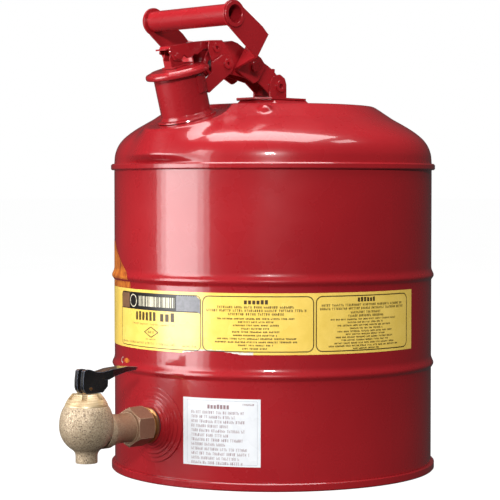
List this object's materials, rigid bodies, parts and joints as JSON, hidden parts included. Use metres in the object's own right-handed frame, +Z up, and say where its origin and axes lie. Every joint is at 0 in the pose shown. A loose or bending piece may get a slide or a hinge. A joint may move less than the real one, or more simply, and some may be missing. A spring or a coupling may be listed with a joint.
{
  "type": "safety can with faucet",
  "caption": "Round red steel safety can with a sprung spout lid, swinging carrying handle and a self-closing bronze faucet at the base.",
  "frame": {"origin": "on the floor under the can's axis, at the middle of the bottom chime's resting ring", "axes": "+Z up along the can, -Y towards the spout and the faucet, +X to the right-hand side of someone facing along +Y"},
  "size_m": [0.298, 0.3935, 0.4193],
  "materials": {
    "red_paint": "gloss",
    "yellow_label": "gloss",
    "white_label": "satin",
    "cast_bronze": "matte",
    "turned_brass": "satin",
    "black_lever": "gloss",
    "seal_rubber": "matte",
    "bright_steel": "satin"
  },
  "bodies": {
    "root": {"can_wall": "red_paint", "bottom_pan": "red_paint", "top_dome": "red_paint", "top_seam": "red_paint", "spout_tube": "red_paint", "flame_arrester": "bright_steel", "arrester_ring": "bright_steel", "spout_ears": "red_paint", "hinge_rivet": "red_paint", "bridge_arm": "red_paint", "dome_bracket": "red_paint", "bracket_rivet": "red_paint", "bracket_washers": "red_paint", "handle_pin": "red_paint", "handle_bushes": "red_paint", "faucet_flange": "red_paint", "faucet_gasket": "seal_rubber", "faucet_nipple": "turned_brass", "inner_nut": "turned_brass", "faucet_body": "cast_bronze", "faucet_bonnet": "turned_brass", "valve_spring": "bright_steel", "yellow_label": "yellow_label", "white_label": "white_label"},
    "lid": {"lid_lever": "red_paint", "lever_rivet": "red_paint", "lid_spring": "bright_steel", "cap_pin": "red_paint", "cap_clip": "red_paint", "cap_rivet": "red_paint", "cap_shell": "red_paint", "cap_gasket": "seal_rubber"},
    "handle": {"handle_yoke": "red_paint", "grip_tube": "red_paint"},
    "stem": {"faucet_stem": "turned_brass", "valve_seal": "seal_rubber"},
    "tap_lever": {"faucet_lever": "black_lever", "lever_pin": "turned_brass"}
  },
  "joints": [
    {"name": "handle_swing", "type": "hinge", "parent": "root", "child": "handle", "pos_m": [0, -0.0385, 0.3664], "axis": [-1, 0, 0], "range_deg": [0, 140]},
    {"name": "lid_hinge", "type": "hinge", "parent": "root", "child": "lid", "pos_m": [0, -0.0717, 0.3672], "axis": [-1, 0, 0], "range_deg": [0, 20], "stiffness_Nm_per_rad": 0.25, "springref_deg": -34.38},
    {"name": "tap_lever_turn", "type": "hinge", "parent": "stem", "child": "tap_lever", "pos_m": [0, -0.2215, 0.0889], "axis": [1, 0, 0], "range_deg": [0, 90]},
    {"name": "stem_lift", "type": "slide", "parent": "root", "child": "stem", "axis": [0, 0, 1], "range_m": [0, 0.004], "stiffness_N_per_m": 800, "springref_m": -0.004, "deforming": ["valve_spring"]}
  ],
  "couplings": [
    {"joint": "tap_lever_turn", "follows": "stem_lift", "rad_per_m": 392.7}
  ]
}
